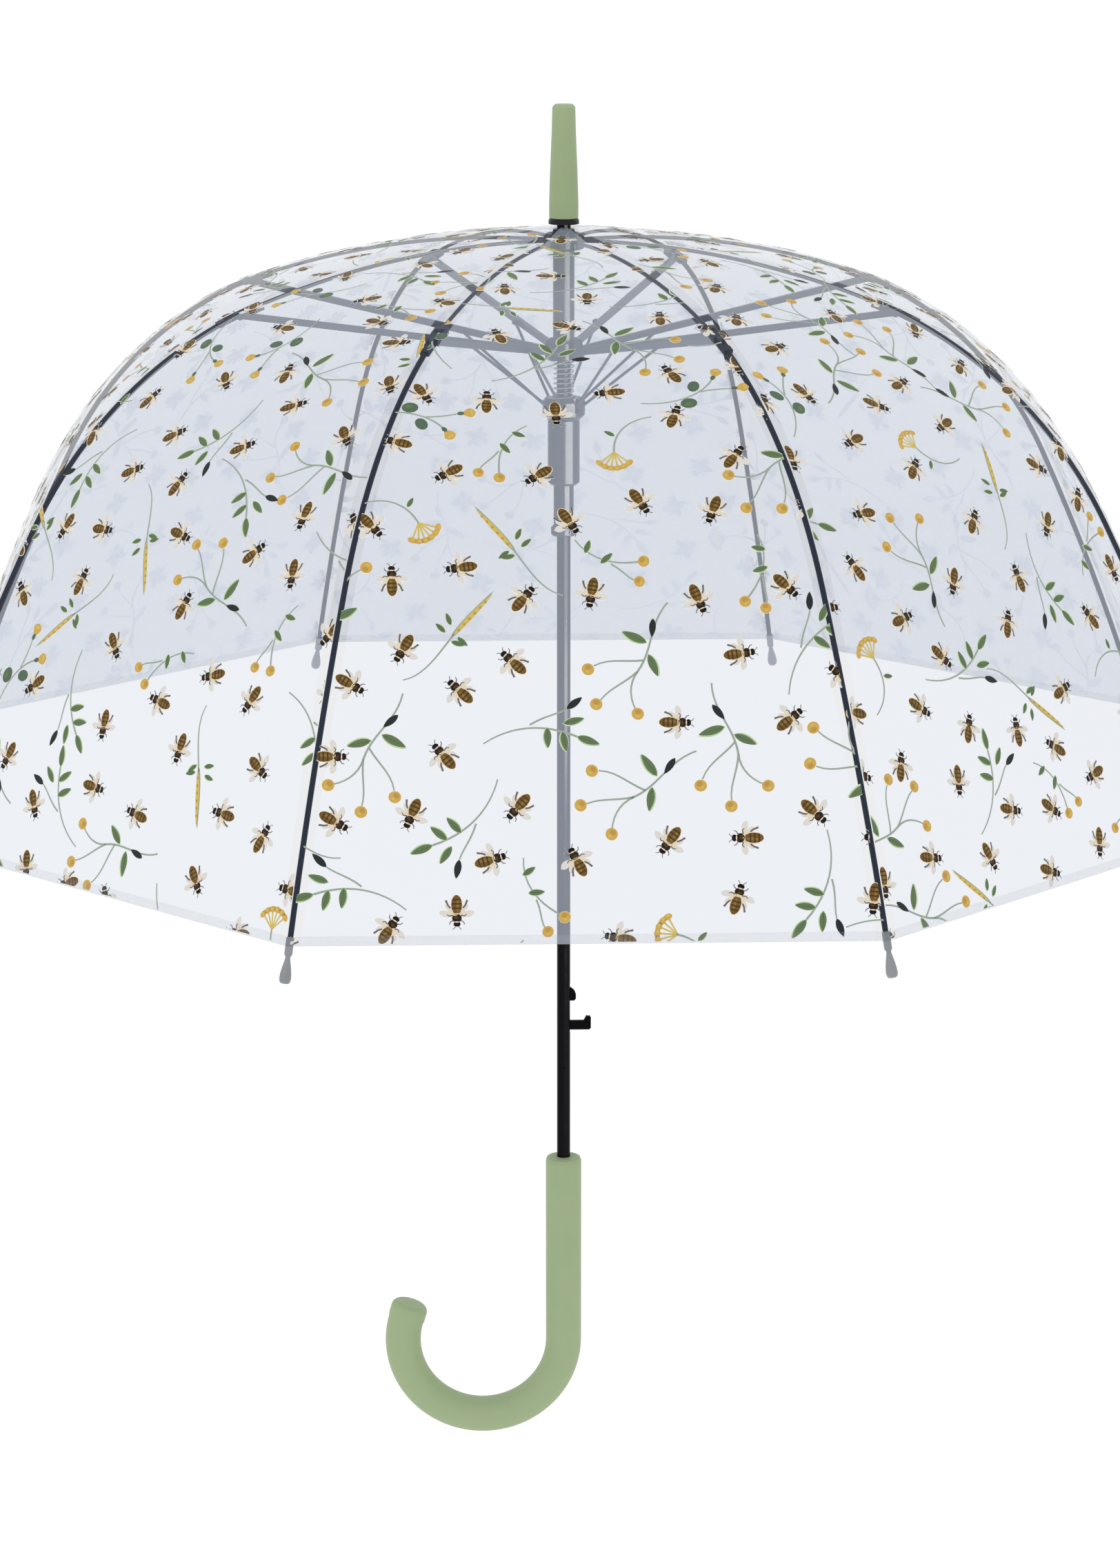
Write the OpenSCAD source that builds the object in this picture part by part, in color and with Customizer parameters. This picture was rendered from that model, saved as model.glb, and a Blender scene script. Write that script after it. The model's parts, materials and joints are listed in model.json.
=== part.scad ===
// Clear dome umbrella with eight ribs, an opening spring and a hooked handle.
// Millimetres. +Z runs up the shaft and the origin is at the middle of the grip.
// The crook points to -X, the release lever to +X, and a gore faces -Y.

/* [Canopy] */
// Height of the film's apex above the middle of the grip
crown_z = 620; // [600:1:640]
// Radius from the shaft's axis to the joint in each rib
joint_r = 200; // [198:1:202]
// Drop of that joint below the apex
joint_drop = 41; // [40:0.5:42]
// Film thickness of the clear canopy
film_t = 0.3; // [0.2:0.05:0.4]

/* [Ribs] */
// Radius of the upper rib rod
upper_rod_r = 1.1; // [1:0.05:1.2]
// Radius of the lower rib rod
lower_rod_r = 1.5; // [1.4:0.05:1.6]
// Tangent of the lower rib where it leaves the joint, in degrees below level
lower_start = 23; // [21:0.5:25]
// Tangent where the shoulder of the dome ends and its skirt begins
shoulder_end = 62.5; // [60:0.5:65]
// Tangent at the tip
skirt_end = 70; // [68:0.5:72]
// Length of the rib round the shoulder
shoulder_len = 170; // [165:1:175]
// Length of the rib down the skirt
skirt_len = 205; // [200:1:210]

/* [Stretchers] */
// Height of a stretcher's channel
stretcher_h = 3.8; // [3.4:0.1:4]
// Width of a stretcher's channel
stretcher_w = 2.7; // [2.4:0.1:2.8]
// Distance from the hub pivot to the strut's pin along the stretcher
strut_pin_at = 54; // [52:1:56]
// Radius of the strut wire
strut_r = 0.85; // [0.7:0.05:0.9]

/* [Shaft and handle] */
// Outer radius of the steel shaft tube
shaft_r = 4; // [3.8:0.1:4.2]
// Wall of the shaft tube
shaft_wall = 0.6; // [0.5:0.1:0.7]
// Radius of the handle's round section
handle_r = 10.75; // [10:0.25:11.5]
// Radius of the crook's centre line
crook_r = 49; // [47:1:51]
// Angle by which the crook's end turns past half a circle
crook_past = 20; // [10:1:25]

/* [Hidden] */
$fn = 48;
RIBS = 8;
function numbered(name) = [for (k = [1:RIBS]) str(name, k)];

// Running clearance of a pin or a shaft in its hole
run = 0.06;
// Gap kept between pieces that pass each other
gap = 0.35;
tiny = 0.01;

// Heights are measured from the apex of the film; every module moves up by crown_z.
pivot_r = 9;
crown_pivot_z = -9;
joint_z = -joint_drop;
hub_z = 2 * joint_z - crown_pivot_z;
link_len = norm([joint_r - pivot_r, crown_pivot_z - joint_z]);
link_tilt = atan2(crown_pivot_z - joint_z, joint_r - pivot_r);
wire_r = 0.5;
pin_r = 0.8;

// Upper rib: an arc from the crown pivot to the joint
upper_bow = 11;
upper_radius = link_len / 2 / sin(upper_bow);
upper_start = link_tilt - upper_bow;
upper_end = link_tilt + upper_bow;

// Joint: three nested forks on one rivet
cheek_t = 0.8;
fork_in = stretcher_w / 2 + gap;
cheek_in = fork_in + cheek_t + gap;
cheek_back = 15;
cheek_web = 12;
fork_reach = 9;

// Lower rib: two arcs, shoulder and skirt
shoulder_radius = shoulder_len / ((shoulder_end - lower_start) * PI / 180);
skirt_radius = skirt_len / ((skirt_end - shoulder_end) * PI / 180);
cap_len = 24;
rod_in_cap = 7.5;

// Hub, lower runner and collar
neck_r = 6.2;
hub_r = 10.9;
hub_top = hub_z + 7;
hub_bottom = hub_z - 5;
lower_z = hub_z - 32;
flange_r = 12.3;
flange_top = lower_z + 5;
flange_bottom = lower_z - 6.5;
runner_r = 9.3;
runner_bottom = lower_z - 46;
pocket_r = 6.7;
pocket_bottom = lower_z - 35;
collar_r = 5.9;
collar_top = lower_z - 40;
collar_bottom = lower_z - 76;
flare_r = 7.5;
flare_h = 4.5;
strut_in_r = 10.5;
strut_side = stretcher_w / 2 + gap + 1.2;

// Spring between hub and lower runner
spring_r = 5.65;
spring_wire = 0.5;
spring_turns = 21;
spring_steps = 12;

// Trigger and its slot in the shaft
trigger_pin_z = -506;
nose_top = -456;
nose_bottom = -464.8;
nose_out = 7.4;
lip_top = -474.6;
lever_top = -477.2;
lever_bottom = -483;
lever_out = 16.4;
plate_t = 1.6;
plate_back = 1.4;
plate_front = 3;
slot_w = 2.4;

// Handle and finial
handle_top = -563;
crook_z = -680;
shaft_bottom = -645;
shaft_top = 26;
finial_base = 3.9;
finial_top = 68.5;

// Outline of the blunt end of the crook, slightly thicker and with a rounded edge
bulb_r = handle_r + 0.4;
bulb_edge = 4;
bulb_len = 10.8;
end_bulb = concat(
    [[0, 0], [bulb_r - 0.6, 0], [bulb_r, 1.2]],
    [for (a = [0:15:90]) [bulb_r - bulb_edge * (1 - cos(a)), bulb_len - bulb_edge * (1 - sin(a))]],
    [[0, bulb_len + 0.6]]);

module at_rib(k) {
    translate([0, 0, crown_z]) rotate([0, 0, 22.5 + 45 * (k - 1)]) children();
}

module at_crown() {
    translate([0, 0, crown_z]) children();
}

// Lays a flat outline in the radial plane, with the extrusion centred across it.
module upright(width) {
    rotate([90, 0, 0]) linear_extrude(width, center = true) children();
}

// A pin across the radial plane
module cross_pin(x, z, r, len, side = 0) {
    translate([x, side, z]) rotate([90, 0, 0]) cylinder(r = r, h = len, center = true);
}

// Centre of the arc that leaves point p with tangent t below level
function arc_centre(p, radius, t) = p - radius * [sin(t), cos(t)];
function arc_point(p, radius, t0, t) = arc_centre(p, radius, t0) + radius * [sin(t), cos(t)];

joint = [joint_r, joint_z];
crown_pivot = [pivot_r, crown_pivot_z];
shoulder_foot = arc_point(joint, shoulder_radius, lower_start, shoulder_end);
tip = arc_point(shoulder_foot, skirt_radius, shoulder_end, skirt_end);
function skirt_angle(from_tip) = skirt_end - from_tip / skirt_radius * 180 / PI;
function skirt_point(from_tip) = arc_point(shoulder_foot, skirt_radius, shoulder_end,
                                           skirt_angle(from_tip));

// Round rod bent along an arc in the radial plane, from tangent t0 to t1
module bent_rod(p, radius, t_start, t0, t1, r) {
    c = arc_centre(p, radius, t_start);
    translate([c[0], 0, c[1]]) rotate([90, 0, 0]) rotate([0, 0, 90 - t1])
        rotate_extrude(angle = t1 - t0, $fn = 96) translate([radius, 0]) circle(r, $fn = 24);
}

// Closed ring of wire with a straight side across each rib's slot and a bead at each corner
module wire_ring(z, r) {
    side = 2 * pivot_r * tan(180 / RIBS);
    for (k = [1:RIBS]) rotate([0, 0, 22.5 + 45 * (k - 1)]) {
        cross_pin(pivot_r, z, r, side);
        translate([pivot_r, side / 2, z]) sphere(1.16 * r, $fn = 24);
    }
}

// Radial slots, open towards the outside
module slots(x0, x1, z0, z1, width, side = 0) {
    for (k = [1:RIBS]) rotate([0, 0, 22.5 + 45 * (k - 1)])
        translate([x0, side - width / 2, z0]) cube([x1 - x0, width, z1 - z0]);
}

module turned(points) {
    rotate_extrude($fn = 72) polygon(points);
}

module finial() {
    color("DarkSeaGreen") at_crown() difference() {
        turned([[0, finial_base], [8.4, finial_base], [8.45, 12], [7.9, 30], [7, 52],
                [6.6, finial_top - 1.6], [5.2, finial_top], [0, finial_top]]);
        translate([0, 0, finial_base - tiny])
            cylinder(r = shaft_r + run, h = shaft_top - finial_base + 1);
    }
}

module crown_washer() {
    color("DimGray") at_crown()
        turned([[shaft_r + run, 0.5], [8.9, 0.5], [8.9, 2.6], [8, finial_base - 0.1],
                [shaft_r + run, finial_base - 0.1]]);
}

module crown_notch() {
    z0 = crown_pivot_z - 5;
    z1 = crown_pivot_z + 4;
    color("DimGray") at_crown() difference() {
        turned([[shaft_r + run, z0], [11, z0], [11.8, z0 + 1], [11.8, z1 - 1.4], [10.4, z1],
                [7, z1], [6, -2.4], [shaft_r + run, -2.4]]);
        slots(6.7, 14, z0 - 1, z1 + 1, 2.7);
        wire_ring(crown_pivot_z, wire_r + 0.03);
    }
}

module crown_wire() {
    color("Silver") at_crown() wire_ring(crown_pivot_z, wire_r);
}

module shaft() {
    color("Black") at_crown() difference() {
        translate([0, 0, shaft_bottom]) cylinder(r = shaft_r, h = shaft_top - shaft_bottom);
        translate([0, 0, shaft_bottom - 1])
            cylinder(r = shaft_r - shaft_wall, h = shaft_top - shaft_bottom + 2);
        // Slot for the trigger's nose and thumb lever
        translate([0, -slot_w / 2, lever_bottom - 2])
            cube([shaft_r + 1, slot_w, nose_top - lever_bottom + 4]);
        cross_pin(0, trigger_pin_z, pin_r + 0.02, 2 * shaft_r + 2);
    }
}

// Upper runner: long neck, slotted hub and a bore that runs on the shaft
module upper_runner() {
    neck_top = crown_pivot_z - 5.4;
    color("DimGray") at_crown() difference() {
        turned([[shaft_r + run, hub_bottom], [hub_r - 1, hub_bottom], [hub_r, hub_bottom + 1],
                [hub_r, hub_top - 1.5], [hub_r - 1.5, hub_top], [neck_r, hub_top + 1],
                [neck_r, neck_top - 0.6], [neck_r - 0.6, neck_top], [shaft_r + run, neck_top]]);
        slots(6.5, 12, hub_bottom - 1, hub_top + 2, stretcher_w + 2 * gap);
        wire_ring(hub_z, wire_r + 0.03);
    }
}

module runner_wire() {
    color("Silver") at_crown() wire_ring(hub_z, wire_r);
}

// Lower runner: flange with the struts' slots, and a pocket for the opening spring
module lower_runner() {
    color("DimGray") at_crown() difference() {
        turned([[0, runner_bottom], [runner_r - 1.5, runner_bottom], [runner_r, runner_bottom + 1.5],
                [runner_r, flange_bottom - 1.5], [flange_r, flange_bottom + 1.5],
                [flange_r, flange_top - 2], [flange_r - 1.8, flange_top], [0, flange_top]]);
        translate([0, 0, pocket_bottom]) cylinder(r = pocket_r, h = flange_top - pocket_bottom + 1);
        translate([0, 0, runner_bottom - 1])
            cylinder(r = shaft_r + run, h = flange_top - runner_bottom);
        translate([0, 0, runner_bottom - 1])
            cylinder(r = collar_r + 0.02, h = collar_top - runner_bottom + 1);
        slots(8.8, 14, lower_z - 3, flange_top + 1, 2 * strut_r + 1, strut_side);
    }
}

// Collar pressed into the lower runner; its slot lets the trigger's nose in
module runner_collar() {
    color("DimGray") at_crown() difference() {
        turned([[shaft_r + run, collar_bottom], [flare_r - 0.6, collar_bottom],
                [flare_r, collar_bottom + 0.8], [flare_r, collar_bottom + flare_h],
                [collar_r, collar_bottom + flare_h + 1.6], [collar_r, collar_top - 0.05],
                [shaft_r + run, collar_top - 0.05]]);
        translate([0, -slot_w / 2, collar_bottom - 1]) cube([10, slot_w, 24]);
    }
}

// Points of the ring number i along the spring's wire
function spring_ring(i, z0, z1) =
    let (n = spring_turns * spring_steps, turn = 360 * i / spring_steps,
         z = z0 + (z1 - z0) * i / n)
    [for (j = [0:5]) let (r = spring_r + spring_wire * cos(60 * j))
        [r * cos(turn), r * sin(turn), z + spring_wire * sin(60 * j)]];

module opening_spring() {
    z0 = pocket_bottom + 0.1 + spring_wire;
    z1 = hub_bottom - 0.4 - spring_wire;
    n = spring_turns * spring_steps;
    points = [for (i = [0:n]) each spring_ring(i, z0, z1)];
    sides = [for (i = [0:n - 1], j = [0:5])
        let (a = 6 * i + j, b = 6 * i + (j + 1) % 6) each [[a, a + 6, b], [b, a + 6, b + 6]]];
    ends = [[for (j = [0:5]) j], [for (j = [5:-1:0]) 6 * n + j]];
    color("Gray") at_crown() polyhedron(points, concat(sides, ends));
}

// Stamped trigger: nose, thumb lever and pivot eye in one plate
module trigger() {
    color("Black") at_crown() difference() {
        upright(plate_t) polygon(concat(
            [[plate_back, nose_top - 4], [plate_back + 0.8, nose_top], [plate_front, nose_top],
             [nose_out - 2.4, nose_top - 1], [nose_out - 0.8, nose_top - 2.6],
             [nose_out, nose_top - 4.8], [nose_out, nose_bottom + 1.2], [nose_out - 1, nose_bottom],
             [plate_front, nose_bottom], [plate_front, lever_top], [lever_out - 4.4, lever_top],
             [lever_out - 2.8, lip_top + 0.4], [lever_out - 1.8, lip_top],
             [lever_out - 0.6, lip_top + 0.1], [lever_out, lip_top - 0.9],
             [lever_out, lever_bottom + 1], [lever_out - 1, lever_bottom],
             [plate_front, lever_bottom]],
            [for (a = [0:-14.9:-298]) [0, trigger_pin_z] + plate_front * [cos(a), sin(a)]]));
        cross_pin(0, trigger_pin_z, pin_r + run, 10);
    }
}

// Torsion spring on the trigger's pin, with one arm along the plate
module trigger_spring() {
    color("Silver") at_crown() translate([0, 1.65, trigger_pin_z]) mirror([1, 0, 0]) {
        rotate([90, 0, 0]) rotate([0, 0, 180])
            rotate_extrude(angle = 270) translate([1.5, 0]) circle(0.4, $fn = 16);
        translate([-1.5, 0, 0]) cylinder(r = 0.4, h = 16, $fn = 16);
    }
}

module trigger_pin() {
    color("Silver") at_crown() cross_pin(0, trigger_pin_z, pin_r, 2 * shaft_r);
}

// Hooked handle: straight grip, and a crook that turns past half a circle to a blunt end
module handle() {
    end_at = crook_past - 4;
    color("DarkSeaGreen") at_crown() difference() {
        union() {
            turned([[0, crook_z], [handle_r, crook_z], [handle_r, handle_top - 2.5],
                    [handle_r - 0.7, handle_top - 0.7], [handle_r - 2.5, handle_top],
                    [0, handle_top]]);
            translate([-crook_r, 0, crook_z]) rotate([-90, 0, 0])
                rotate_extrude(angle = 180 + crook_past, $fn = 96)
                    translate([crook_r, 0]) circle(handle_r);
            translate([-crook_r - crook_r * cos(end_at), 0, crook_z + crook_r * sin(end_at)])
                rotate([0, end_at, 0]) turned(end_bulb);
        }
        translate([0, 0, shaft_bottom - 1])
            cylinder(r = shaft_r + 0.03, h = handle_top - shaft_bottom + 2);
    }
}

// Upper rib with its eye, the crimped clip and the rivet of the joint
module rib_inner(k) {
    web_turn = cheek_web / upper_radius * 180 / PI;
    color("DimGray") at_rib(k) {
        difference() {
            union() {
                bent_rod(crown_pivot, upper_radius, upper_start, upper_start + 0.15,
                         upper_end - web_turn, upper_rod_r);
                cross_pin(pivot_r, crown_pivot_z, 1.9, 2);
                clip();
            }
            cross_pin(pivot_r, crown_pivot_z, wire_r + run, 6);
        }
        cross_pin(joint_r, joint_z, pin_r, 2 * (cheek_in + cheek_t));
    }
}

// Clip round the joint: two cheeks joined by a web behind the stretcher's eye
module clip() {
    translate([joint_r, 0, joint_z]) rotate([0, upper_end, 0]) {
        for (side = [-1, 1]) translate([0, side * (cheek_in + cheek_t / 2), 0]) upright(cheek_t)
            union() {
                translate([-cheek_back, -2.6]) square([cheek_back, 3.8]);
                translate([0, -0.7]) circle(1.9);
            }
        translate([-cheek_back, -cheek_in - 0.1, -1.1])
            cube([cheek_back - cheek_web, 2 * cheek_in + 0.2, 2.3]);
    }
}

// Lower rib: fork on the rivet, then one rod round the shoulder and down the skirt
module rib_outer(k) {
    turn = fork_reach / shoulder_radius * 180 / PI;
    color("Black") at_rib(k) difference() {
        union() {
            bent_rod(joint, shoulder_radius, lower_start, lower_start + turn, shoulder_end,
                     lower_rod_r);
            bent_rod(shoulder_foot, skirt_radius, shoulder_end, shoulder_end,
                     skirt_angle(cap_len - rod_in_cap), lower_rod_r);
            translate([joint_r, 0, joint_z]) rotate([0, lower_start, 0]) {
                for (side = [-1, 1]) translate([0, side * (fork_in + cheek_t / 2), 0])
                    upright(cheek_t) union() {
                        circle(1.7);
                        translate([0, -1.5]) square([fork_reach + 4, 3]);
                    }
                translate([fork_reach - 0.5, -fork_in - 0.1, -1.5])
                    cube([4.5, 2 * fork_in + 0.2, 3]);
            }
        }
        cross_pin(joint_r, joint_z, pin_r + run, 10);
    }
}

// Stretcher: channel with an eye at each end, the hub's and the joint's, and the strut's pin
module stretcher(k) {
    eye_r = stretcher_h / 2;
    color("SlateGray") at_rib(k) translate([pivot_r, 0, hub_z]) rotate([0, -link_tilt, 0]) {
        difference() {
            upright(stretcher_w) difference() {
                union() {
                    circle(eye_r);
                    translate([link_len, 0]) circle(eye_r);
                    translate([0, -eye_r]) square([link_len, 2 * eye_r]);
                }
                circle(wire_r + run);
                translate([link_len, 0]) circle(pin_r + run);
            }
            translate([5, -stretcher_w / 2 + 0.5, -eye_r - 1])
                cube([link_len - 10, stretcher_w - 1, stretcher_h]);
        }
        translate([strut_pin_at, strut_side / 2 + 1, 0]) rotate([90, 0, 0])
            cylinder(r = wire_r, h = strut_side + 2, center = true);
        translate([strut_pin_at, strut_side + 1.5, 0]) rotate([90, 0, 0])
            cylinder(r = 1.2, h = 0.6, center = true);
    }
}

// Strut wire with a flat eye on the stretcher's pin and a rounded end in the lower runner
function strut_pin() = [pivot_r, hub_z] + strut_pin_at * [cos(link_tilt), sin(link_tilt)];

module strut(k) {
    p = strut_pin();
    q = [strut_in_r, lower_z];
    len = norm(p - q);
    color("SlateGray") at_rib(k) translate([p[0], strut_side, p[1]])
        rotate([0, 180 - atan2(p[1] - q[1], p[0] - q[0]), 0]) difference() {
            union() {
                cross_pin(0, 0, 1.6, 2 * strut_r);
                translate([1, 0, 0]) rotate([0, 90, 0]) cylinder(r = strut_r, h = len - 1);
                translate([len, 0, 0]) sphere(strut_r + 0.25, $fn = 24);
            }
            cross_pin(0, 0, wire_r + run, 6);
        }
}

// Tip cap: sleeve over the rod's end, a neck and a round bulb
module tip_cap(k) {
    t = skirt_angle(cap_len / 2);
    p = skirt_point(0);
    color("Gray", 0.7) at_rib(k) translate([p[0], 0, p[1]]) rotate([0, t - 90, 0])
        difference() {
            turned([[0, 0], [2, 0.3], [2.8, 1.2], [3.1, 3], [2.9, 5.4], [2.4, 8.4], [1.7, 11.4],
                    [1.35, 13], [1.35, 14], [2.1, 15.2], [2.1, cap_len - 0.6],
                    [1.9, cap_len], [0, cap_len]]);
            translate([0, 0, cap_len - rod_in_cap - 0.5])
                cylinder(r = lower_rod_r + 0.1, h = rod_in_cap + 2);
        }
}

// Film: one closed shell over the ribs, dished round the crown and straight at the hem
film_lift = 2.1;
film_steps = 6;
hem_at = cap_len + 0.6;
crown_rise = 6;

function upper_film(u) =
    let (t = upper_start + (upper_end - upper_start) * u,
         p = arc_point(crown_pivot, upper_radius, upper_start, t))
    p + film_lift * [sin(t), cos(t)] + [0, crown_rise * pow(max(0, 1 - 3 * u), 2)];
function shoulder_film(u) =
    let (t = lower_start + (shoulder_end - lower_start) * u)
    arc_point(joint, shoulder_radius, lower_start, t) + film_lift * [sin(t), cos(t)];
function skirt_film(u) =
    let (t = shoulder_end + (skirt_angle(hem_at) - shoulder_end) * u)
    arc_point(shoulder_foot, skirt_radius, shoulder_end, t) + film_lift * [sin(t), cos(t)];

film_line = concat(
    [[shaft_r + 0.35, -0.9]],
    [for (i = [1:10]) upper_film(0.985 * i / 10)],
    [for (i = [0:14]) shoulder_film(i / 14)],
    [for (i = [1:8]) skirt_film(i / 8)]);

// Gores bow between the ribs near the crown and pull straight towards the hem
function gore_r(r, step) =
    let (a = abs(step - film_steps / 2) / (film_steps / 2) * 22.5, b = 22.5 - a,
         chord = cos(22.5) / cos(22.5 - b), share = pow(min(1, r / tip[0]), 1.2))
    r * (1 - share + share * chord);

function film_ring(p, drop) = [for (s = [0:RIBS * film_steps - 1])
    let (a = 22.5 + 45 * s / film_steps, r = gore_r(p[0], s % film_steps) - drop[0])
    [r * cos(a), r * sin(a), p[1] - drop[1]]];

module canopy() {
    n = len(film_line);
    m = RIBS * film_steps;
    slope = [for (i = [0:n - 1]) let (a = film_line[max(0, i - 1)], b = film_line[min(n - 1, i + 1)],
        d = (b - a) / norm(b - a)) film_t * [-d[1], d[0]]];
    points = concat(
        [for (i = [0:n - 1]) each film_ring(film_line[i] + slope[i], [0, 0])],
        [for (i = [0:n - 1]) each film_ring(film_line[i], [0, 0])]);
    function at(side, i, s) = side * n * m + i * m + s % m;
    outer = [for (i = [0:n - 2], s = [0:m - 1])
        each [[at(0, i, s), at(0, i, s + 1), at(0, i + 1, s)],
              [at(0, i, s + 1), at(0, i + 1, s + 1), at(0, i + 1, s)]]];
    inner = [for (i = [0:n - 2], s = [0:m - 1])
        each [[at(1, i, s), at(1, i + 1, s), at(1, i, s + 1)],
              [at(1, i, s + 1), at(1, i + 1, s), at(1, i + 1, s + 1)]]];
    rims = [for (s = [0:m - 1])
        each [[at(0, 0, s), at(1, 0, s), at(0, 0, s + 1)],
              [at(0, 0, s + 1), at(1, 0, s), at(1, 0, s + 1)],
              [at(0, n - 1, s), at(0, n - 1, s + 1), at(1, n - 1, s)],
              [at(0, n - 1, s + 1), at(1, n - 1, s + 1), at(1, n - 1, s)]]];
    color("LightCyan", 0.25) at_crown() polyhedron(points, concat(outer, inner, rims));
}

finial();
crown_washer();
crown_notch();
crown_wire();
shaft();
upper_runner();
runner_wire();
opening_spring();
lower_runner();
runner_collar();
trigger();
trigger_spring();
trigger_pin();
handle();
canopy();
for (k = [1:RIBS]) {
    rib_inner(k);
    rib_outer(k);
    stretcher(k);
    strut(k);
    tip_cap(k);
}
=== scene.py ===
"""Looks of a clear dome umbrella: printed film, moulded grips, enamelled frame, soft studio light."""
import json
import math
import random

import bpy
import numpy as np
from mathutils import Matrix, Vector


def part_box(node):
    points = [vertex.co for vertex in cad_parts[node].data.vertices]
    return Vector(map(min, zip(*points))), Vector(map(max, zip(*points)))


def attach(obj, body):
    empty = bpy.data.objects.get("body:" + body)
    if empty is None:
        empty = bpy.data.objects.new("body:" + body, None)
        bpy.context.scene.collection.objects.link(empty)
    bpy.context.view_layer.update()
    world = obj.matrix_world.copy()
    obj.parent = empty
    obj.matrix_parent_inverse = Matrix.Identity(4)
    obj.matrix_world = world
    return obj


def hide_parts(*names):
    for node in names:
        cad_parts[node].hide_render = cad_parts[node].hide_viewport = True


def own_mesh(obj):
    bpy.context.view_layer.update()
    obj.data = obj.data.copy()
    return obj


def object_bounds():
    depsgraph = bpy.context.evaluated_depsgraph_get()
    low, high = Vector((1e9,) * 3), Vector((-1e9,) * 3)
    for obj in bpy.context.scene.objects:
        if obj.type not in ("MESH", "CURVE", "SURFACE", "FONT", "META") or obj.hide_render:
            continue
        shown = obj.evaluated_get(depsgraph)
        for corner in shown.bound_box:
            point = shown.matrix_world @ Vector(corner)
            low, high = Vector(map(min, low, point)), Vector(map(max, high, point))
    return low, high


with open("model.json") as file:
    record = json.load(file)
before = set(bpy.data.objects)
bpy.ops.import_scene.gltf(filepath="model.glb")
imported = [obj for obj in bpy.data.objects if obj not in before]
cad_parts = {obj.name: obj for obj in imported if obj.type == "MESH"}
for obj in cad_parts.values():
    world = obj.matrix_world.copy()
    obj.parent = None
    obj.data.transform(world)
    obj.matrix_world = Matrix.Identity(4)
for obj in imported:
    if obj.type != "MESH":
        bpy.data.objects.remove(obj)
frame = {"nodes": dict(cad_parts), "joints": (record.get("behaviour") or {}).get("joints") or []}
cad_low, cad_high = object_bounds()

MM = 0.001
RIBS = 8
GORE = math.tau / RIBS
HALF_GORE = GORE / 2
PLACES = {j["name"]: Vector(j["pos_m"]) for j in frame["joints"] if "pos_m" in j}


# ---------- Camera, light and floor ----------

CAMERA_DISTANCE = 2.48
CAMERA_HEIGHT = 0.905
CAMERA_HEADING = math.radians(-92.0)
CAMERA_PITCH = math.radians(-13.95)
CAMERA_YAW = math.radians(0.05)
SENSOR_HEIGHT = 36.0
LENS = 99.0
# name: place, size in metres, watts
LAMPS = {"key": ((-1.6, -2.2, 2.4), 1.6, 8), "fill": ((2.2, 1.2, 2.4), 2.0, 4)}
LAMP_TARGET = (0, 0, 0.4)
STREAK_PLACE = (1.23, -1.58, 0.1)
STREAK_TARGET = (0, 0, 0.1)
STREAK_SIZE = (2.1, 0.6)
STREAK_WATTS = 330
FLOOR_DROP = 0.9
FLOOR_HALF = 40
FLOOR_WHITE = 0.95
FLOOR_GLOW = 0.12


def make_camera():
    data = bpy.data.cameras.new("camera")
    data.sensor_fit = "VERTICAL"
    data.sensor_height = SENSOR_HEIGHT
    data.lens = LENS
    camera = bpy.data.objects.new("camera", data)
    bpy.context.scene.collection.objects.link(camera)
    camera.location = (CAMERA_DISTANCE * math.cos(CAMERA_HEADING),
                       CAMERA_DISTANCE * math.sin(CAMERA_HEADING), CAMERA_HEIGHT)
    turn = Matrix.Rotation(CAMERA_HEADING + math.pi / 2 + CAMERA_YAW, 4, "Z")
    tilt = Matrix.Rotation(math.pi / 2 + CAMERA_PITCH, 4, "X")
    camera.rotation_euler = (turn @ tilt).to_euler()
    bpy.context.scene.camera = camera


def aimed(data, place, target):
    """A lamp at its place, turned to shine on its target."""
    light = bpy.data.objects.new(data.name, data)
    bpy.context.scene.collection.objects.link(light)
    light.location = place
    light.rotation_euler = (Vector(target) - Vector(place)).to_track_quat("-Z", "Y").to_euler()
    return light


def round_lamp(name, place, size, watts):
    data = bpy.data.lights.new(name, "AREA")
    data.shape = "DISK"
    data.size = size
    data.energy = watts
    aimed(data, place, LAMP_TARGET)


def streak_light(nodes):
    """A broad lamp to the right that only lights the dark metal, for the pale streak down its length."""
    data = bpy.data.lights.new("streak", "AREA")
    data.shape = "RECTANGLE"
    data.size, data.size_y = STREAK_SIZE
    data.energy = STREAK_WATTS
    light = aimed(data, STREAK_PLACE, STREAK_TARGET)
    light.visible_camera = False
    group = bpy.data.collections.new("dark metal")
    for node in nodes:
        group.objects.link(frame["nodes"][node])
    light.light_linking.receiver_collection = group


def make_floor():
    mesh = bpy.data.meshes.new("floor")
    level = cad_low.z - FLOOR_DROP
    corners = ((-1, -1), (1, -1), (1, 1), (-1, 1))
    mesh.from_pydata([(FLOOR_HALF * x, FLOOR_HALF * y, level) for x, y in corners], [], [(0, 1, 2, 3)])
    floor = bpy.data.objects.new("floor", mesh)
    bpy.context.scene.collection.objects.link(floor)
    material, shader, _ = new_material("floor")
    shader.inputs["Base Color"].default_value = (FLOOR_WHITE, FLOOR_WHITE, FLOOR_WHITE, 1)
    shader.inputs["Roughness"].default_value = 0.9
    shader.inputs["Specular IOR Level"].default_value = 0.0
    shader.inputs["Emission Color"].default_value = (1, 1, 1, 1)
    shader.inputs["Emission Strength"].default_value = FLOOR_GLOW
    mesh.materials.append(material)


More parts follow.
